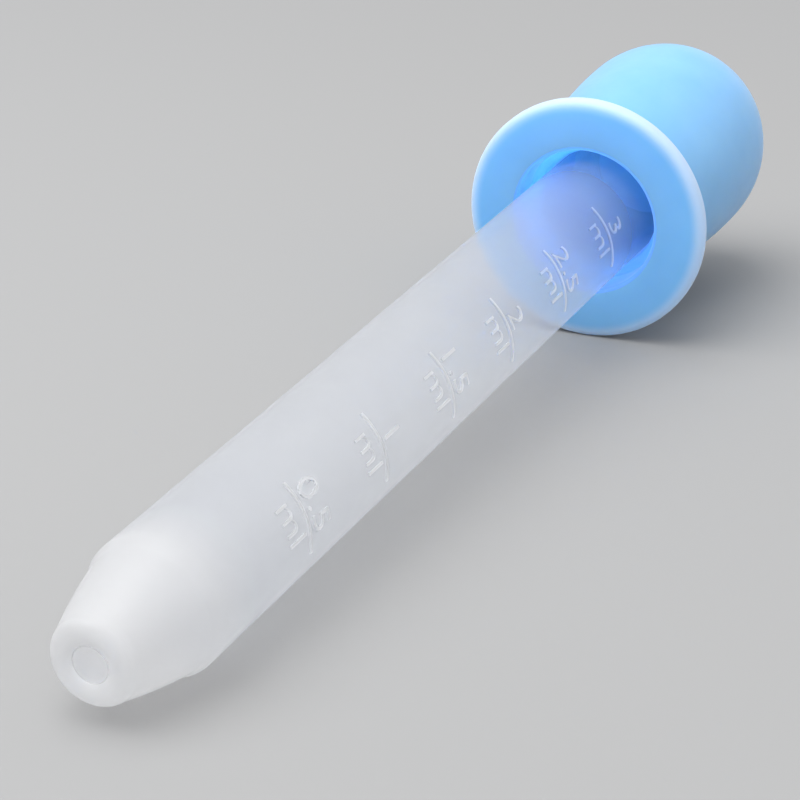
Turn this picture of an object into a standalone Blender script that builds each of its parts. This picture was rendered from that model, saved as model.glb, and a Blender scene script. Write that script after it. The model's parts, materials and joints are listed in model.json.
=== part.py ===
"""Medicine dropper: a graduated polypropylene tube in a flanged silicone bulb.

The dropper lies on a flat surface, on the rim of its flange and the shoulder of
its tube, with the tip towards +X. Lengths are in metres and +Z is up. Each piece
is turned round the dropper's own axis, on which height 0 is the middle of the
flange. Heights above it lie towards the bulb, and heights below it towards the
tip. The bulb and its flange are one soft moulding, which is split in two here
just behind the flange, so that the bulb can be pressed towards the flange.
"""
import math

import bmesh
import bpy

MM = 0.001
ML = 1e-6

# How finely round shapes are cut
FACETS = 64
ROUNDING_STEPS = 3
CURVE_STEPS = 8
DOME_STEPS = 9
SHARP_ANGLE = math.radians(35)
MERGE_DISTANCE = 0.001 * MM

# Flange
FLANGE_RADIUS = 10.4 * MM
FLANGE_HALF = 0.75 * MM
RIM_ROUNDING = 0.6 * MM

# Recess round the tube in the flange's front face
RECESS_RADIUS = 6.1 * MM
RECESS_EDGE = 0.35 * MM
RECESS_TOP = 2.5 * MM

# Sleeve inside the bulb that grips the tube
GRIP_RADIUS = 5.4 * MM
SLEEVE_RADIUS = 6.3 * MM
SLEEVE_TOP = 10.0 * MM
SLEEVE_CHAMFER = 0.3 * MM

# Bulb: a neck that widens to its largest radius, and a dome that closes it
NECK_RADIUS = 7.05 * MM
BULB_RADIUS = 9.0 * MM
DOME_BASE = 19.1 * MM
BULB_TOP = 29.1 * MM
BULB_WALL = 1.4 * MM
SPLIT_HEIGHT = 3.2 * MM
GAP = 0.3 * MM

# Tube, with a slight draft outside and inside
TUBE_TOP = 14.0 * MM
SHOULDER = -71.0 * MM
TUBE_RADIUS = 5.05 * MM
TUBE_DRAFT = 0.004
BORE_RADIUS = 4.02 * MM
BORE_DRAFT = 0.0038
MOUTH_CHAMFER = 0.3 * MM

# Nozzle below the tube's shoulder
NOZZLE_TOP = -71.6 * MM
NOZZLE_TOP_RADIUS = 4.5 * MM
NOZZLE_BULGE = 0.08 * MM
LIP_HEIGHT = -77.7 * MM
LIP_RADIUS = 2.9 * MM
TIP_HEIGHT = -78.5 * MM
ORIFICE_RADIUS = 1.0 * MM
ORIFICE_TOP = -75.6 * MM

# Graduations: raised arcs on the tube, a stated volume of bore apart
FULL_MARK = -7.4 * MM
MARK_COUNT = 6
MARK_VOLUME = 0.5 * ML
MARK_WIDTH = 0.45 * MM
MARK_RELIEF = 0.15 * MM
MARK_ROOT = 0.4 * MM
MARK_START = math.radians(40)
MARK_SWEEP = math.radians(60)
MARK_STEPS = 12


def clear_scene():
    for obj in list(bpy.data.objects):
        bpy.data.objects.remove(obj, do_unlink=True)


def tube_radius(height):
    return TUBE_RADIUS + TUBE_DRAFT * height


def bore_radius(height):
    return BORE_RADIUS + BORE_DRAFT * height


def neck_radius(height):
    """Outer radius of the bulb between the flange and the base of the dome."""
    along = (height - FLANGE_HALF) / (DOME_BASE - FLANGE_HALF)
    return NECK_RADIUS + (BULB_RADIUS - NECK_RADIUS) * math.sin(math.pi / 2 * along)


def steps(start, end, count):
    """Evenly spaced values from start to end, with both ends."""
    return [start + (end - start) * i / count for i in range(count + 1)]


def arc(centre, radii, start_deg, end_deg, count=ROUNDING_STEPS):
    """Points of an elliptical arc, as (radius, height)."""
    angles = steps(math.radians(start_deg), math.radians(end_deg), count)
    return [(centre[0] + radii[0] * math.cos(a), centre[1] + radii[1] * math.sin(a)) for a in angles]


def plastic(name, colour, roughness, alpha=1.0):
    """A plain Principled BSDF material."""
    material = bpy.data.materials.new(name)
    material.use_nodes = True
    shader = material.node_tree.nodes["Principled BSDF"]
    shader.inputs["Base Color"].default_value = (*colour, 1.0)
    shader.inputs["Roughness"].default_value = roughness
    shader.inputs["Metallic"].default_value = 0.0
    shader.inputs["Alpha"].default_value = alpha
    return material


def add_object(name, mesh, axis):
    """Link a mesh into the scene, riding on the dropper's axis."""
    obj = bpy.data.objects.new(name, mesh)
    bpy.context.scene.collection.objects.link(obj)
    obj.parent = axis
    return obj


def turned(name, outline, axis, closed=True):
    """Turn an outline of (radius, height) points, which runs down its outer side."""
    count = len(outline)
    edges = [(i, i + 1) for i in range(count - 1)]
    if closed:
        edges.append((count - 1, 0))
    mesh = bpy.data.meshes.new(name)
    mesh.from_pydata([(radius, 0.0, height) for radius, height in outline], edges, [])
    obj = add_object(name, mesh, axis)
    screw = obj.modifiers.new("turn", "SCREW")
    screw.angle = 2 * math.pi
    screw.steps = FACETS
    screw.render_steps = FACETS
    screw.use_merge_vertices = True
    screw.merge_threshold = MERGE_DISTANCE
    return obj


def settle(obj, material):
    """Keep the shape that the modifiers give, smooth except at its edges."""
    depsgraph = bpy.context.evaluated_depsgraph_get()
    mesh = bpy.data.meshes.new_from_object(obj.evaluated_get(depsgraph))
    mesh.name = obj.name
    mesh.materials.clear()
    mesh.materials.append(material)
    mesh.shade_smooth()
    mesh.set_sharp_from_angle(angle=SHARP_ANGLE)
    obj.modifiers.clear()
    obj.data = mesh


def mark_height(index):
    """Height of a graduation, counted from the full mark downwards.

    The bore narrows evenly, so the volume between two heights is a cut cone.
    """
    full_radius = bore_radius(FULL_MARK)
    cubed = full_radius ** 3 - 3 * BORE_DRAFT * index * MARK_VOLUME / math.pi
    return (cubed ** (1 / 3) - BORE_RADIUS) / BORE_DRAFT


def make_graduations(axis):
    """The raised arcs as solids that reach into the tube's wall."""
    shape = bmesh.new()
    for index in range(MARK_COUNT):
        height = mark_height(index)
        inner = tube_radius(height) - MARK_ROOT
        outer = tube_radius(height) + MARK_RELIEF
        low = height - MARK_WIDTH / 2
        high = height + MARK_WIDTH / 2
        corners = [(inner, low), (outer, low), (outer, high), (inner, high)]
        turn = (math.cos(MARK_START), math.sin(MARK_START))
        start = [shape.verts.new((r * turn[0], r * turn[1], z)) for r, z in corners]
        section = shape.faces.new(start)
        bmesh.ops.spin(
            shape, geom=[section], cent=(0, 0, 0), axis=(0, 0, 1), angle=MARK_SWEEP, steps=MARK_STEPS,
        )
    bmesh.ops.recalc_face_normals(shape, faces=shape.faces)
    mesh = bpy.data.meshes.new("graduations")
    shape.to_mesh(mesh)
    shape.free()
    return add_object("graduations", mesh, axis)


def tube_outline():
    """The hollow tube and its nozzle, open at both ends."""
    top_radius = tube_radius(TUBE_TOP)
    outline = [
        (top_radius - MOUTH_CHAMFER, TUBE_TOP),
        (top_radius, TUBE_TOP - MOUTH_CHAMFER),
        (tube_radius(SHOULDER), SHOULDER),
    ]
    for along in steps(0.0, 1.0, CURVE_STEPS // 2):
        radius = NOZZLE_TOP_RADIUS + (LIP_RADIUS - NOZZLE_TOP_RADIUS) * along
        bulge = NOZZLE_BULGE * math.sin(math.pi * along)
        outline.append((radius + bulge, NOZZLE_TOP + (LIP_HEIGHT - NOZZLE_TOP) * along))
    bead_radius = (LIP_RADIUS + ORIFICE_RADIUS) / 2
    bead = (LIP_RADIUS - bead_radius, LIP_HEIGHT - TIP_HEIGHT)
    outline += arc((bead_radius, LIP_HEIGHT), bead, 0, -180, 2 * ROUNDING_STEPS)[1:]
    outline += [
        (ORIFICE_RADIUS, ORIFICE_TOP),
        (bore_radius(SHOULDER), SHOULDER),
        (bore_radius(TUBE_TOP), TUBE_TOP),
    ]
    return outline


def make_tube(axis, material):
    marks = make_graduations(axis)
    tube = turned("tube", tube_outline(), axis)
    union = tube.modifiers.new("graduations", "BOOLEAN")
    union.operation = "UNION"
    union.solver = "EXACT"
    union.object = marks
    settle(tube, material)
    bpy.data.objects.remove(marks, do_unlink=True)
    return tube


def flange_outline():
    """The flange, the root of the neck behind it, and the sleeve that grips the tube."""
    outline = [
        (SLEEVE_RADIUS - SLEEVE_CHAMFER, SLEEVE_TOP),
        (SLEEVE_RADIUS, SLEEVE_TOP - SLEEVE_CHAMFER),
        (SLEEVE_RADIUS, SPLIT_HEIGHT),
    ]
    outline += [(neck_radius(z), z) for z in steps(SPLIT_HEIGHT, FLANGE_HALF, 2)]
    rim_centre = FLANGE_RADIUS - RIM_ROUNDING
    rounding = (RIM_ROUNDING, RIM_ROUNDING)
    outline += arc((rim_centre, FLANGE_HALF - RIM_ROUNDING), rounding, 90, 0)
    outline += arc((rim_centre, RIM_ROUNDING - FLANGE_HALF), rounding, 0, -90)
    edge_centre = (RECESS_RADIUS + RECESS_EDGE, RECESS_EDGE - FLANGE_HALF)
    outline += arc(edge_centre, (RECESS_EDGE, RECESS_EDGE), -90, -180)
    outline += [
        (RECESS_RADIUS, RECESS_TOP),
        (GRIP_RADIUS, RECESS_TOP),
        (GRIP_RADIUS, SLEEVE_TOP),
    ]
    return outline


def bulb_outline():
    """The hollow bulb, from the top of its dome down its outside and up its inside."""
    base = SPLIT_HEIGHT + GAP
    dome_height = BULB_TOP - DOME_BASE
    inner_neck = SLEEVE_RADIUS + GAP
    inner_base = SLEEVE_TOP + GAP
    outer = arc((0.0, DOME_BASE), (BULB_RADIUS, dome_height), 90, 0, DOME_STEPS)
    outer += [(neck_radius(z), z) for z in steps(DOME_BASE, base, CURVE_STEPS)[1:]]
    inner = [(inner_neck, base), (inner_neck, inner_base)]
    inner += [(neck_radius(z) - BULB_WALL, z) for z in steps(inner_base + BULB_WALL, DOME_BASE, 3)]
    cavity = (BULB_RADIUS - BULB_WALL, dome_height - BULB_WALL)
    inner += arc((0.0, DOME_BASE), cavity, 0, 90, DOME_STEPS)[1:]
    return outer + inner


def make_axis():
    """The dropper's axis, leaning by the angle at which the dropper rests."""
    axis = bpy.data.objects.new("dropper_axis", None)
    bpy.context.scene.collection.objects.link(axis)
    rim_height = RIM_ROUNDING - FLANGE_HALF
    lean = math.atan2(FLANGE_RADIUS - tube_radius(SHOULDER), rim_height - SHOULDER)
    axis.rotation_euler.y = lean - math.pi / 2
    return axis


def stand_on_floor(axis, pieces):
    """Move the axis so that the dropper's box stands on the origin by its bottom centre."""
    bpy.context.view_layer.update()
    corners = [piece.matrix_world @ vert.co for piece in pieces for vert in piece.data.vertices]
    for side in range(2):
        values = [corner[side] for corner in corners]
        axis.location[side] = -(min(values) + max(values)) / 2
    axis.location.z = -min(corner.z for corner in corners)
    bpy.context.view_layer.update()


def main():
    clear_scene()
    polypropylene = plastic("frosted_polypropylene", (0.74, 0.78, 0.82), 0.35, 0.6)
    flange_silicone = plastic("blue_silicone_flange", (0.13, 0.39, 0.76), 0.4)
    bulb_silicone = plastic("blue_silicone_bulb", (0.16, 0.45, 0.82), 0.4)
    axis = make_axis()
    tube = make_tube(axis, polypropylene)
    flange = turned("bulb_flange", flange_outline(), axis)
    settle(flange, flange_silicone)
    bulb = turned("squeeze_bulb", bulb_outline(), axis, closed=False)
    settle(bulb, bulb_silicone)
    stand_on_floor(axis, [tube, flange, bulb])


main()
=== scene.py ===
"""Looks of the medicine dropper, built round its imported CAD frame.

Two visible pieces stand for the three CAD nodes: the graduated tube, and the bulb and
flange as the single silicone moulding that they are. Both are turned round the dropper's
own axis. On it, height 0 is the middle of the flange and heights grow towards the bulb.
A polar angle of 0 is the top of the dropper as it lies, and grows towards +Y.
"""

import json
import math

import bmesh
import bpy
from mathutils import Matrix, Vector

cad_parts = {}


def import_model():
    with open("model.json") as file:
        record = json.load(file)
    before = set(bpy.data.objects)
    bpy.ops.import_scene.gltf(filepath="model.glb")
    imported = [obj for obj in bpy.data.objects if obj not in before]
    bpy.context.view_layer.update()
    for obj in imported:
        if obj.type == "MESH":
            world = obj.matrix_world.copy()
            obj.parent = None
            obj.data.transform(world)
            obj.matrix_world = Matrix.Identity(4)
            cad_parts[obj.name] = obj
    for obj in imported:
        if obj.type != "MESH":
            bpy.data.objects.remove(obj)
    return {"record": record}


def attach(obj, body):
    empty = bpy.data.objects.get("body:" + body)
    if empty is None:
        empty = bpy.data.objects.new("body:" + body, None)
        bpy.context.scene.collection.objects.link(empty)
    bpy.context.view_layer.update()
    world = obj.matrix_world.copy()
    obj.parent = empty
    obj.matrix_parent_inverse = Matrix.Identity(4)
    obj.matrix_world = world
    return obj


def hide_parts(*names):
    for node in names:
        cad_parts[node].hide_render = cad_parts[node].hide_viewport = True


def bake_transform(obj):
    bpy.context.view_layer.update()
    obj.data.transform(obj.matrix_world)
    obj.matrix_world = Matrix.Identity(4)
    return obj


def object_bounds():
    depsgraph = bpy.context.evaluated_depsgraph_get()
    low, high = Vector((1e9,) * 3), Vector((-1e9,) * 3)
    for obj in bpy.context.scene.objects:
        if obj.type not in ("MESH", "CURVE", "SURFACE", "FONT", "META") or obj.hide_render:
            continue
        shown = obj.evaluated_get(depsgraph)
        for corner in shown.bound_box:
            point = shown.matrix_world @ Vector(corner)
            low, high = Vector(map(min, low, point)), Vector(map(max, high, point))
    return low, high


MM = 0.001
ML = 1e-6

# How finely round shapes are cut
SEGMENTS = 144
ARC_STEPS = 8
CURVE_STEPS = 36
MERGE_DISTANCE = 0.0005 * MM
FACE_STEPS = 6
ORIFICE_STEPS = 4
SHARP_ANGLE = math.radians(40)

# The flange seat's mount is on the front face, this far above the dropper's axis
SEAT_RADIUS = 8.1 * MM

# Flange, with the recess round the tube in its front face
FLANGE_RADIUS = 10.4 * MM
FLANGE_HALF = 0.75 * MM
RIM_ROUNDING = 0.6 * MM
RECESS_RADIUS = 6.1 * MM
RECESS_EDGE = 0.35 * MM
RECESS_TOP = 2.5 * MM
GRIP_RADIUS = 5.17 * MM
GRIP_EDGE = 0.3 * MM
GRIP_TOP = 10.0 * MM

# Bulb: a neck that widens to its largest radius, and a dome that closes it
NECK_RADIUS = 7.05 * MM
NECK_FILLET = 0.5 * MM
BULB_RADIUS = 9.0 * MM
DOME_BASE = 19.1 * MM
BULB_TOP = 29.1 * MM
BULB_WALL = 1.4 * MM
# What lies deeper than this under the outer skin belongs to the inside
SKIN_DEPTH = 0.4 * MM
# The bulb sits slightly askew: sideways shift for each metre behind the flange
BULB_LEAN = Vector((0.0121, -0.014, 0.0))

# Tube, with a slight draft outside and inside
TUBE_TOP = 14.0 * MM
SHOULDER = -71.0 * MM
TUBE_RADIUS = 5.05 * MM
TUBE_DRAFT = 0.004
BORE_RADIUS = 4.02 * MM
BORE_DRAFT = 0.0038
# What lies no further than this from the bore belongs to the inside
BORE_DEPTH = 0.2 * MM
MOUTH_ROUNDING = 0.3 * MM
RING_SPACING = 0.8 * MM

# Nozzle, with a rounded bead round its orifice
NOZZLE_TOP = -71.7 * MM
NOZZLE_TOP_RADIUS = 4.45 * MM
NOZZLE_BULGE = 0.1 * MM
LIP_HEIGHT = -77.7 * MM
LIP_RADIUS = 2.92 * MM
TIP_HEIGHT = -78.5 * MM
ORIFICE_RADIUS = 1.0 * MM
ORIFICE_TOP = -75.6 * MM

# Graduations: raised arcs with their numbers, a stated volume of bore apart
FULL_MARK = -7.4 * MM
MARK_LABELS = ("3", "2.5", "2", "1.5", "1", "0.5")
MARK_VOLUME = 0.5 * ML
MARK_WIDTH = 0.3 * MM
MARK_TAPER = 0.7
MARK_RELIEF = 0.15 * MM
MARK_ROOT = 0.2 * MM
MARK_START = math.radians(40)
MARK_SWEEP = math.radians(60)
MARK_STEPS = 30
LETTER_CENTRE = math.radians(67)
NUMBER_HEIGHT = 2.1 * MM
UNIT_HEIGHT = 2.0 * MM
LETTER_GAP = 0.55 * MM
LETTER_CUT = 0.25 * MM
# In font units, before the lettering is brought to size
LETTER_THINNING = -0.012
LETTER_EXTRUSION = 0.5
LETTER_CURVE_STEPS = 3
LETTER_MERGE_DISTANCE = 0.0001

# Most of a noise texture's values lie between these
NOISE_LOW = 0.2
NOISE_HIGH = 0.8

# Silicone: base colours, and how far light travels in it
SILICONE_COLOURS = ((0.165, 0.45, 0.80), (0.20, 0.50, 0.85))
# Painted highlight: the flange's rim pales towards its edge, standing in for light caught by its
# rounded edge
RIM_HIGHLIGHT_COLOUR = (0.64, 0.74, 0.90)
RIM_HIGHLIGHT_SHARE = 0.7
RIM_HIGHLIGHT_FADE = 1.2 * MM
# Painted glow: a deeper, more saturated blue in the recess, grip and cavity, for light that
# comes through the thin silicone walls and bounces inside
INSIDE_PAINTED_GLOW_COLOUR = (0.14, 0.39, 0.96)
OUTSIDE_GLOW = 3.0 * MM
INSIDE_GLOW = 14.0 * MM
GLOW_BY_CHANNEL = (0.35, 0.8, 1.3)
SILICONE_IOR = 1.41
SILICONE_ROUGHNESS = (0.42, 0.55)
SHEEN_WEIGHT = 0.3
SHEEN_ROUGHNESS = 0.5

# Polypropylene: base colours, and how opaque each part of the tube is
WALL_COLOURS = ((0.79, 0.82, 0.89), (0.83, 0.86, 0.92))
# Whiter on the nozzle, where the thick plastic is milkier, and on the raised graduations, where
# the white is partly a painted highlight
MILKY_AND_HIGHLIGHT_COLOUR = (0.95, 0.95, 0.96)
WALL_OPACITY = 0.40
GRIP_OPACITY = 0.19
WHITE_OPACITY = 0.18
BORE_SHARE = 0.15
GRIP_START = 1.0 * MM
NOZZLE_FADE = 6.0 * MM
POLYPROPYLENE_IOR = 1.49
POLYPROPYLENE_ROUGHNESS = (0.40, 0.50)
TRANSMISSION = 0.6

# Studio
FLOOR_HALF = 1.5
FLOOR_COLOURS = ((0.32, 0.319, 0.318), (0.335, 0.334, 0.333))
FLOOR_ROUGHNESS = (0.75, 0.85)
SKY_COLOUR = (0.97, 0.98, 1.0)
SKY_STRENGTHS = (0.6, 1.05)
LIGHT_OFFSET = Vector((0.15, -0.15, 0.50))
LIGHT_SIZE = 0.6
LIGHT_POWER = 3.6

# Camera, from the middle of the flange
CAMERA_OFFSET = Vector((184.696, 70.246, 57.118)) * MM
CAMERA_AZIMUTH = math.radians(115.35)
CAMERA_DROP = math.radians(20.41)
CAMERA_LENS = 110.25
CAMERA_CLIP = (0.01, 10.0)


def steps(start, end, count):
    """Evenly spaced values from start to end, with both ends."""
    return [start + (end - start) * i / count for i in range(count + 1)]


def arc(centre, radii, start_deg, end_deg, count=ARC_STEPS):
    """Points of an elliptical arc, as (radius, height)."""
    angles = steps(math.radians(start_deg), math.radians(end_deg), count)
    return [
        (centre[0] + radii[0] * math.cos(angle), centre[1] + radii[1] * math.sin(angle))
        for angle in angles
    ]


def tube_radius(height):
    return TUBE_RADIUS + TUBE_DRAFT * height


def bore_radius(height):
    return BORE_RADIUS + BORE_DRAFT * height


def neck_radius(height):
    """Outer radius of the bulb between the flange and the base of the dome."""
    along = (height - FLANGE_HALF) / (DOME_BASE - FLANGE_HALF)
    return NECK_RADIUS + (BULB_RADIUS - NECK_RADIUS) * math.sin(math.pi / 2 * along)


def dropper_axes(frame):
    """Matrix from the dropper's own axes to the frame's, found from the flange's mount."""
    seat = frame["record"]["mounts"][0]
    tipward = Vector(seat["axis"])
    up = Vector((-tipward.z, 0.0, tipward.x))
    centre = Vector(seat["pos_m"]) - tipward * FLANGE_HALF - up * SEAT_RADIUS
    turn = Matrix((up, Vector((0.0, 1.0, 0.0)), -tipward)).transposed()
    return Matrix.Translation(centre) @ turn.to_4x4()


# Shapes


def spin(shape, geom, angle, count):
    """Sweep part of a shape round the dropper's axis."""
    axis = {"cent": (0, 0, 0), "axis": (0, 0, 1)}
    bmesh.ops.spin(shape, geom=geom, angle=angle, steps=count, **axis)


def turned(outline, closed):
    """A surface turned from an outline of (radius, height) points."""
    shape = bmesh.new()
    points = [shape.verts.new((radius, 0.0, height)) for radius, height in outline]
    edges = [shape.edges.new(pair) for pair in zip(points, points[1:])]
    if closed:
        edges.append(shape.edges.new((points[-1], points[0])))
    spin(shape, points + edges, 2 * math.pi, SEGMENTS)
    bmesh.ops.remove_doubles(shape, verts=shape.verts, dist=MERGE_DISTANCE)
    bmesh.ops.recalc_face_normals(shape, faces=shape.faces)
    return shape


def mesh_object(name, shape):
    mesh = bpy.data.meshes.new(name)
    shape.to_mesh(mesh)
    shape.free()
    obj = bpy.data.objects.new(name, mesh)
    bpy.context.scene.collection.objects.link(obj)
    return obj


def finish_piece(obj, axes, material):
    """Keep the place of every point on the dropper for the material, then lay the piece down."""
    mesh = obj.data
    mesh.materials.clear()
    mesh.materials.append(material)
    mesh.shade_smooth()
    mesh.set_sharp_from_angle(angle=SHARP_ANGLE)
    place = mesh.attributes.new("place", "FLOAT_VECTOR", "POINT")
    for vert in mesh.vertices:
        place.data[vert.index].vector = vert.co / MM
    mesh.transform(axes)


def silicone_outline():
    """Bulb, flange and the sleeve that grips the tube, from the top of the dome and back."""
    dome_height = BULB_TOP - DOME_BASE
    outline = arc((0.0, DOME_BASE), (BULB_RADIUS, dome_height), 90, 0, CURVE_STEPS)
    root = FLANGE_HALF + NECK_FILLET
    outline += [(neck_radius(z), z) for z in steps(DOME_BASE, root, CURVE_STEPS)[1:]]
    fillet_centre = (neck_radius(root) + NECK_FILLET, root)
    outline += arc(fillet_centre, (NECK_FILLET, NECK_FILLET), 180, 270)[1:]
    rounding = (RIM_ROUNDING, RIM_ROUNDING)
    rim_centre = FLANGE_RADIUS - RIM_ROUNDING
    outline += arc((rim_centre, FLANGE_HALF - RIM_ROUNDING), rounding, 90, 0)
    outline += arc((rim_centre, RIM_ROUNDING - FLANGE_HALF), rounding, 0, -90)
    face_end = RECESS_RADIUS + RECESS_EDGE
    outline += [(r, -FLANGE_HALF) for r in steps(rim_centre, face_end, FACE_STEPS)[1:-1]]
    edge_centre = (face_end, RECESS_EDGE - FLANGE_HALF)
    outline += arc(edge_centre, (RECESS_EDGE, RECESS_EDGE), -90, -180)
    corner = (RECESS_RADIUS - GRIP_EDGE, RECESS_TOP - GRIP_EDGE)
    outline += arc(corner, (GRIP_EDGE, GRIP_EDGE), 0, 90)
    grip_centre = (GRIP_RADIUS + GRIP_EDGE, RECESS_TOP + GRIP_EDGE)
    outline += arc(grip_centre, (GRIP_EDGE, GRIP_EDGE), -90, -180)
    half_steps = CURVE_STEPS // 2
    grip_heights = steps(RECESS_TOP + GRIP_EDGE, GRIP_TOP, half_steps)[1:]
    outline += [(GRIP_RADIUS, z) for z in grip_heights]
    cavity = [(neck_radius(z) - BULB_WALL, z) for z in steps(GRIP_TOP, DOME_BASE, half_steps)]
    inner_dome = (BULB_RADIUS - BULB_WALL, dome_height - BULB_WALL)
    return outline + cavity + arc((0.0, DOME_BASE), inner_dome, 0, 90, CURVE_STEPS)[1:]


def is_inside(place):
    """Whether a point of the silicone is in its recess, grip or cavity."""
    radius = place.xy.length
    if place.z > DOME_BASE:
        across = radius / BULB_RADIUS
        along = (place.z - DOME_BASE) / (BULB_TOP - DOME_BASE)
        return math.hypot(across, along) < 1 - BULB_WALL / BULB_RADIUS / 2
    skin = neck_radius(max(place.z, FLANGE_HALF))
    return place.z > -FLANGE_HALF + MERGE_DISTANCE and radius < skin - SKIN_DEPTH


def is_gripping(place):
    """Whether a point of the silicone is on the part that holds the tube."""
    near = place.xy.length < GRIP_RADIUS + GRIP_EDGE
    return near and place.z < GRIP_TOP + MERGE_DISTANCE


def make_silicone(axes, material):
    """The bulb and flange, straight where they hold the tube and askew behind the flange."""
    shape = turned(silicone_outline(), closed=False)
    inside = shape.verts.layers.float.new("inside")
    for vert in shape.verts:
        vert[inside] = float(is_inside(vert.co))
    for vert in shape.verts:
        height = vert.co.z - FLANGE_HALF
        if height > 0 and not is_gripping(vert.co):
            vert.co += BULB_LEAN * height
    obj = mesh_object("silicone_bulb", shape)
    finish_piece(obj, axes, material)
    return obj


def tube_outline():
    """The hollow tube and its nozzle, open at both ends."""
    top_radius = tube_radius(TUBE_TOP)
    wall_middle = (top_radius + bore_radius(TUBE_TOP)) / 2
    mouth = (top_radius - wall_middle, MOUTH_ROUNDING)
    mouth_height = TUBE_TOP - MOUTH_ROUNDING
    outline = arc((wall_middle, mouth_height), mouth, 90, 0)
    ring_count = round((TUBE_TOP - SHOULDER) / RING_SPACING)
    outline += [(tube_radius(z), z) for z in steps(mouth_height, SHOULDER, ring_count)[1:]]
    for along in steps(0.0, 1.0, CURVE_STEPS // 2):
        radius = NOZZLE_TOP_RADIUS + (LIP_RADIUS - NOZZLE_TOP_RADIUS) * along
        bulge = NOZZLE_BULGE * math.sin(math.pi * along)
        outline.append((radius + bulge, NOZZLE_TOP + (LIP_HEIGHT - NOZZLE_TOP) * along))
    bead_radius = (LIP_RADIUS + ORIFICE_RADIUS) / 2
    bead = (LIP_RADIUS - bead_radius, LIP_HEIGHT - TIP_HEIGHT)
    outline += arc((bead_radius, LIP_HEIGHT), bead, 0, -180, 2 * ARC_STEPS)[1:]
    outline += [(ORIFICE_RADIUS, z) for z in steps(LIP_HEIGHT, ORIFICE_TOP, ORIFICE_STEPS)[1:]]
    outline += [(bore_radius(z), z) for z in steps(SHOULDER, mouth_height, CURVE_STEPS)]
    return outline + arc((wall_middle, mouth_height), mouth, 180, 90)[1:-1]


def mark_height(index):
    """Height of a graduation, counted from the full mark downwards.

    The bore narrows evenly, so the volume between two heights is a cut cone.
    """
    full_radius = bore_radius(FULL_MARK)
    cubed = full_radius ** 3 - 3 * BORE_DRAFT * index * MARK_VOLUME / math.pi
    return (cubed ** (1 / 3) - BORE_RADIUS) / BORE_DRAFT


def tick_shape(height):
    """One raised arc, which reaches into the tube's wall."""
    shape = bmesh.new()
    inner = tube_radius(height) - MARK_ROOT
    outer = tube_radius(height) + MARK_RELIEF
    half = MARK_WIDTH / 2
    top_half = half * MARK_TAPER
    corners = [(inner, -half), (outer, -top_half), (outer, top_half), (inner, half)]
    turn = (math.cos(MARK_START), math.sin(MARK_START))
    start = [shape.verts.new((r * turn[0], r * turn[1], height + z)) for r, z in corners]
    section = shape.faces.new(start)
    spin(shape, [section], MARK_SWEEP, MARK_STEPS)
    bmesh.ops.recalc_face_normals(shape, faces=shape.faces)
    return shape


def text_shape(text):
    """Flat lettering, extruded both ways, in font units."""
    curve = bpy.data.curves.new("letters", "FONT")
    curve.body = text
    curve.align_x = "CENTER"
    curve.offset = LETTER_THINNING
    curve.resolution_u = LETTER_CURVE_STEPS
    curve.extrude = LETTER_EXTRUSION
    letters = bpy.data.objects.new("letters", curve)
    bpy.context.scene.collection.objects.link(letters)
    depsgraph = bpy.context.evaluated_depsgraph_get()
    mesh = bpy.data.meshes.new_from_object(letters.evaluated_get(depsgraph))
    bpy.data.objects.remove(letters, do_unlink=True)
    bpy.data.curves.remove(curve)
    shape = bmesh.new()
    shape.from_mesh(mesh)
    bpy.data.meshes.remove(mesh)
    bmesh.ops.remove_doubles(shape, verts=shape.verts, dist=LETTER_MERGE_DISTANCE)
    return shape


def letter_shape(text, letter_height, base):
    """Raised lettering, wrapped round the tube, with its foot at height base."""
    shape = text_shape(text)
    lows = [min(vert.co[side] for vert in shape.verts) for side in range(2)]
    highs = [max(vert.co[side] for vert in shape.verts) for side in range(2)]
    scale = letter_height / (highs[1] - lows[1])
    middle = (lows[0] + highs[0]) / 2
    for vert in shape.verts:
        vert.co = ((vert.co.x - middle) * scale, (vert.co.y - lows[1]) * scale, vert.co.z)
    width = (highs[0] - lows[0]) * scale
    cut_count = math.ceil(width / LETTER_CUT)
    for place in steps(-width / 2, width / 2, cut_count)[1:-1]:
        geom = list(shape.verts) + list(shape.edges) + list(shape.faces)
        plane = {"plane_co": (place, 0, 0), "plane_no": (1, 0, 0)}
        bmesh.ops.bisect_plane(shape, geom=geom, **plane)
    for vert in shape.verts:
        height = base + vert.co.y
        angle = LETTER_CENTRE + vert.co.x / tube_radius(height)
        relief = MARK_RELIEF if vert.co.z > 0 else -MARK_ROOT
        radius = tube_radius(height) + relief
        vert.co = (radius * math.cos(angle), radius * math.sin(angle), height)
    bmesh.ops.recalc_face_normals(shape, faces=shape.faces)
    return shape


def make_marks():
    """Every graduation arc, its number on the bulb's side and its unit on the tip's side."""
    shapes = []
    for index, label in enumerate(MARK_LABELS):
        height = mark_height(index)
        shapes.append(tick_shape(height))
        shapes.append(letter_shape(label, NUMBER_HEIGHT, height + LETTER_GAP))
        shapes.append(letter_shape("ml", UNIT_HEIGHT, height - LETTER_GAP - UNIT_HEIGHT))
    merged = bmesh.new()
    for shape in shapes:
        part = bpy.data.meshes.new("mark")
        shape.to_mesh(part)
        shape.free()
        merged.from_mesh(part)
        bpy.data.meshes.remove(part)
    return mesh_object("marks", merged)


def is_bore(place):
    """Whether a point of the tube is on its inner surface."""
    if place.z > SHOULDER:
        return place.xy.length < bore_radius(place.z) + BORE_DEPTH
    along = min(1.0, (SHOULDER - place.z) / (SHOULDER - ORIFICE_TOP))
    radius = bore_radius(SHOULDER) * (1 - along) + ORIFICE_RADIUS * along
    return place.xy.length < radius + BORE_DEPTH


def is_raised(place):
    """Whether a point of the tube is on top of a graduation."""
    return place.xy.length > tube_radius(place.z) + MARK_RELIEF / 2


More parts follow.
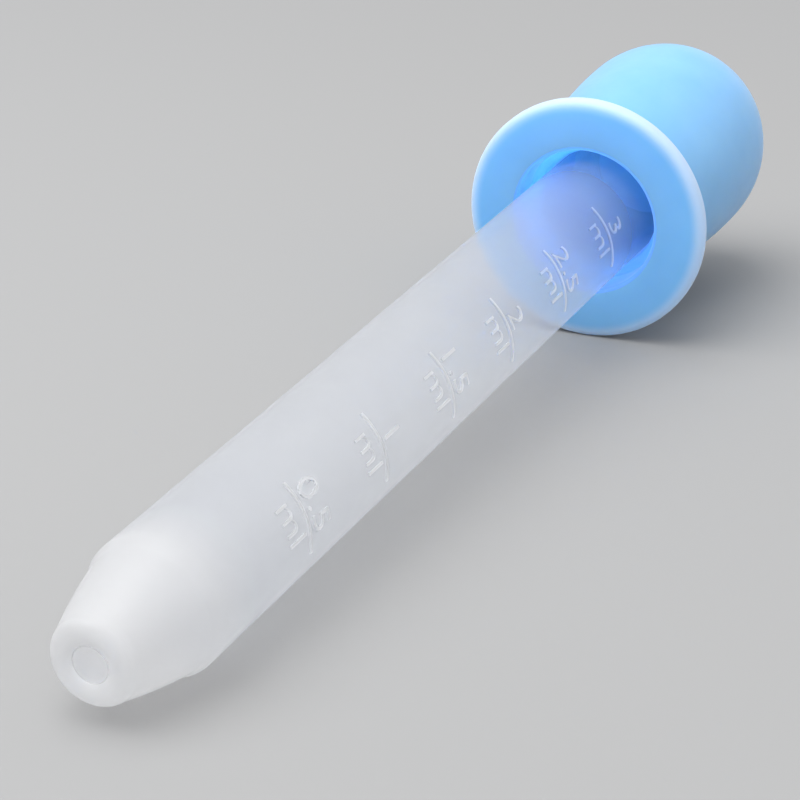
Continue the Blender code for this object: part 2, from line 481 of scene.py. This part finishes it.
def make_tube(axes, material):
    """The tube with its graduations joined on."""
    obj = mesh_object("dropper_tube", turned(tube_outline(), closed=True))
    marks = make_marks()
    union = obj.modifiers.new("marks", "BOOLEAN")
    union.operation = "UNION"
    union.solver = "MANIFOLD"
    union.object = marks
    depsgraph = bpy.context.evaluated_depsgraph_get()
    mesh = bpy.data.meshes.new_from_object(obj.evaluated_get(depsgraph))
    obj.modifiers.clear()
    obj.data = mesh
    bpy.data.objects.remove(marks, do_unlink=True)
    inside = mesh.attributes.new("inside", "FLOAT", "POINT")
    raised = mesh.attributes.new("raised", "FLOAT", "POINT")
    for vert in mesh.vertices:
        inside.data[vert.index].value = float(is_bore(vert.co))
        raised.data[vert.index].value = float(is_raised(vert.co))
    finish_piece(obj, axes, material)
    return obj


# Materials


class Nodes:
    """A small helper that adds shader nodes and links them."""

    def __init__(self, name):
        self.material = bpy.data.materials.new(name)
        self.material.use_nodes = True
        self.tree = self.material.node_tree
        self.shader = self.tree.nodes["Principled BSDF"]

    def add(self, kind, settings=None, **links):
        node = self.tree.nodes.new(kind)
        for key, value in (settings or {}).items():
            if key in node.inputs:
                node.inputs[key].default_value = value
            else:
                setattr(node, key, value)
        for key, source in links.items():
            self.tree.links.new(source, node.inputs[key.replace("_", " ")])
        return node

    def attribute(self, name):
        return self.add("ShaderNodeAttribute", {"attribute_name": name})

    def place(self):
        """Where a point is on the dropper, in millimetres, whatever the pose."""
        return self.attribute("place").outputs["Vector"]

    def noise(self, place, scale, detail=3.0, roughness=0.5):
        settings = {"Scale": scale, "Detail": detail, "Roughness": roughness}
        return self.add("ShaderNodeTexNoise", settings, Vector=place).outputs["Fac"]

    def between(self, value, low, high, from_low=NOISE_LOW, from_high=NOISE_HIGH):
        """A smooth step from low to high, while the value goes from from_low to from_high."""
        node = self.add("ShaderNodeMapRange", {"interpolation_type": "SMOOTHSTEP"}, Value=value)
        node.inputs["From Min"].default_value = from_low
        node.inputs["From Max"].default_value = from_high
        node.inputs["To Min"].default_value = low
        node.inputs["To Max"].default_value = high
        return node.outputs["Result"]

    def ramp(self, noise, colours):
        """Colour between two, where the noise puts it."""
        node = self.add("ShaderNodeValToRGB", Fac=noise)
        node.color_ramp.interpolation = "EASE"
        positions = (NOISE_LOW, NOISE_HIGH)
        for element, position, colour in zip(node.color_ramp.elements, positions, colours):
            element.position = position
            element.color = (*colour, 1.0)
        return node.outputs["Color"]

    def mix(self, share, colour, other):
        """Colour that turns into another, fixed colour where share is 1."""
        node = self.add("ShaderNodeMix", {"data_type": "RGBA"})
        self.tree.links.new(share, node.inputs[0])
        self.tree.links.new(colour, node.inputs[6])
        node.inputs[7].default_value = (*other, 1.0)
        return node.outputs[2]

    def maths(self, operation, *values):
        """A sum on sockets and plain numbers."""
        node = self.add("ShaderNodeMath", {"operation": operation})
        for socket, value in zip(node.inputs, values):
            if isinstance(value, float):
                socket.default_value = value
            else:
                self.tree.links.new(value, socket)
        return node.outputs["Value"]

    def radius(self, place):
        """Distance from the dropper's axis, in millimetres."""
        parts = self.add("ShaderNodeSeparateXYZ", Vector=place).outputs
        flat = self.add("ShaderNodeCombineXYZ", X=parts["X"], Y=parts["Y"]).outputs["Vector"]
        length = self.add("ShaderNodeVectorMath", {"operation": "LENGTH"}, Vector=flat)
        return length.outputs["Value"]

    def height(self, place):
        """Height along the dropper's axis, in millimetres."""
        return self.add("ShaderNodeSeparateXYZ", Vector=place).outputs["Z"]

    def bump(self, height, strength, distance, normal=None):
        settings = {"Strength": strength, "Distance": distance}
        node = self.add("ShaderNodeBump", settings, Height=height)
        if normal is not None:
            self.tree.links.new(normal, node.inputs["Normal"])
        return node.outputs["Normal"]

    def drive(self, socket, source):
        self.tree.links.new(source, self.shader.inputs[socket])

    def set(self, socket, value):
        self.shader.inputs[socket].default_value = value


def make_silicone_material():
    """Satin blue silicone rubber, slightly translucent, with a painted highlight on its rim."""
    nodes = Nodes("blue_silicone")
    place = nodes.place()
    outer = nodes.ramp(nodes.noise(place, 0.16, 2.0), SILICONE_COLOURS)
    # Painted highlight: the base colour pales towards the rim's edge
    rim_highlight_start = (FLANGE_RADIUS - RIM_HIGHLIGHT_FADE) / MM
    rim_highlight = nodes.between(nodes.radius(place), 0.0, RIM_HIGHLIGHT_SHARE, rim_highlight_start, FLANGE_RADIUS / MM)
    outer = nodes.mix(rim_highlight, outer, RIM_HIGHLIGHT_COLOUR)
    inside = nodes.attribute("inside").outputs["Fac"]
    # Painted glow: the recess, grip and cavity take a deeper, more saturated blue
    nodes.drive("Base Color", nodes.mix(inside, outer, INSIDE_PAINTED_GLOW_COLOUR))
    glow = nodes.between(inside, OUTSIDE_GLOW, INSIDE_GLOW, 0.0, 1.0)
    nodes.drive("Subsurface Scale", glow)
    smudge = nodes.noise(place, 0.5, 4.0, 0.6)
    nodes.drive("Roughness", nodes.between(smudge, *SILICONE_ROUGHNESS))
    grain = nodes.bump(nodes.noise(place, 6.0, 2.0), 0.12, 0.01 * MM)
    waves = nodes.bump(nodes.noise(place, 0.35, 2.0), 0.25, 0.08 * MM, grain)
    nodes.drive("Normal", waves)
    nodes.set("IOR", SILICONE_IOR)
    nodes.set("Subsurface Weight", 1.0)
    nodes.set("Subsurface Radius", GLOW_BY_CHANNEL)
    nodes.shader.subsurface_method = "BURLEY"
    nodes.set("Sheen Weight", SHEEN_WEIGHT)
    nodes.set("Sheen Roughness", SHEEN_ROUGHNESS)
    return nodes.material


def make_polypropylene_material():
    """Frosted natural polypropylene, milky where it is thick and clearer in the grip; its raised
    graduations are whiter, partly a painted highlight.
    """
    nodes = Nodes("frosted_polypropylene")
    place = nodes.place()
    height = nodes.height(place)
    wall = nodes.ramp(nodes.noise(place, 0.2, 3.0), WALL_COLOURS)
    nozzle_top = NOZZLE_TOP / MM
    nozzle = nodes.between(height, 1.0, 0.0, nozzle_top, nozzle_top + NOZZLE_FADE / MM)
    # The raised graduations turn whiter, partly a painted highlight, as does the milkier nozzle
    raised = nodes.attribute("raised").outputs["Fac"]
    milky_and_highlit = nodes.maths("MAXIMUM", nozzle, raised)
    nodes.drive("Base Color", nodes.mix(milky_and_highlit, wall, MILKY_AND_HIGHLIGHT_COLOUR))
    grip_start = GRIP_START / MM
    wall_veil = nodes.between(height, WALL_OPACITY, GRIP_OPACITY, FULL_MARK / MM, grip_start)
    veil = nodes.maths("MULTIPLY_ADD", milky_and_highlit, WHITE_OPACITY, wall_veil)
    inside = nodes.attribute("inside").outputs["Fac"]
    outer = nodes.between(inside, 1.0, BORE_SHARE, 0.0, 1.0)
    nodes.drive("Alpha", nodes.maths("MULTIPLY", veil, outer))
    frost = nodes.noise(place, 0.9, 4.0, 0.6)
    nodes.drive("Roughness", nodes.between(frost, *POLYPROPYLENE_ROUGHNESS))
    grain = nodes.bump(nodes.noise(place, 9.0, 2.0), 0.1, 0.01 * MM)
    waves = nodes.bump(nodes.noise(place, 0.6, 2.0), 0.2, 0.03 * MM, grain)
    nodes.drive("Normal", waves)
    nodes.set("IOR", POLYPROPYLENE_IOR)
    nodes.set("Transmission Weight", TRANSMISSION)
    return nodes.material


def make_floor_material():
    """Matt light grey paper."""
    nodes = Nodes("studio_paper")
    place = nodes.add("ShaderNodeTexCoord").outputs["Object"]
    cloud = nodes.noise(place, 3.0, 2.0)
    nodes.drive("Base Color", nodes.ramp(cloud, FLOOR_COLOURS))
    nodes.drive("Roughness", nodes.between(cloud, *FLOOR_ROUGHNESS))
    nodes.drive("Normal", nodes.bump(nodes.noise(place, 900.0, 2.0), 0.05, 0.02 * MM))
    return nodes.material


# Studio


def make_floor(low):
    """A level sheet of studio paper."""
    shape = bmesh.new()
    corners = [(-1, -1), (1, -1), (1, 1), (-1, 1)]
    places = [(x * FLOOR_HALF, y * FLOOR_HALF, low.z) for x, y in corners]
    shape.faces.new([shape.verts.new(place) for place in places])
    floor = mesh_object("floor", shape)
    floor.data.materials.append(make_floor_material())


def make_light(centre):
    """A large soft light overhead, a little to the left of the camera."""
    data = bpy.data.lights.new("overhead", "AREA")
    data.size = LIGHT_SIZE
    data.energy = LIGHT_POWER
    light = bpy.data.objects.new("overhead", data)
    light.location = centre + LIGHT_OFFSET
    light.rotation_euler = (-LIGHT_OFFSET).to_track_quat("-Z", "Y").to_euler()
    bpy.context.scene.collection.objects.link(light)


def make_world():
    """Soft white surroundings that are brighter overhead than at the horizon."""
    world = bpy.data.worlds.new("studio")
    world.use_nodes = True
    tree = world.node_tree
    background = tree.nodes["Background"]
    background.inputs["Color"].default_value = (*SKY_COLOUR, 1.0)
    place = tree.nodes.new("ShaderNodeTexCoord")
    parts = tree.nodes.new("ShaderNodeSeparateXYZ")
    height = tree.nodes.new("ShaderNodeMapRange")
    height.inputs["To Min"].default_value, height.inputs["To Max"].default_value = SKY_STRENGTHS
    tree.links.new(place.outputs["Generated"], parts.inputs["Vector"])
    tree.links.new(parts.outputs["Z"], height.inputs["Value"])
    tree.links.new(height.outputs["Result"], background.inputs["Strength"])
    bpy.context.scene.world = world


def make_camera(flange_centre):
    """A long lens that looks down the tube from its tip."""
    data = bpy.data.cameras.new("camera")
    data.lens = CAMERA_LENS
    data.clip_start, data.clip_end = CAMERA_CLIP
    camera = bpy.data.objects.new("camera", data)
    bpy.context.scene.collection.objects.link(camera)
    camera.location = flange_centre + CAMERA_OFFSET
    camera.rotation_euler = (math.pi / 2 - CAMERA_DROP, 0.0, CAMERA_AZIMUTH)
    bpy.context.scene.camera = camera


def main():
    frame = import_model()
    cad_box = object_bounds()
    axes = dropper_axes(frame)

    tube = make_tube(axes, make_polypropylene_material())
    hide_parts("tube")
    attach(tube, "tube")

    silicone = make_silicone(axes, make_silicone_material())
    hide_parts("bulb_flange", "squeeze_bulb")
    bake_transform(silicone)

    low, high = cad_box
    make_floor(low)
    make_world()
    make_light((low + high) / 2)
    make_camera(axes.translation)
    bpy.context.scene.view_settings.view_transform = "Standard"
    bpy.context.view_layer.update()


main()
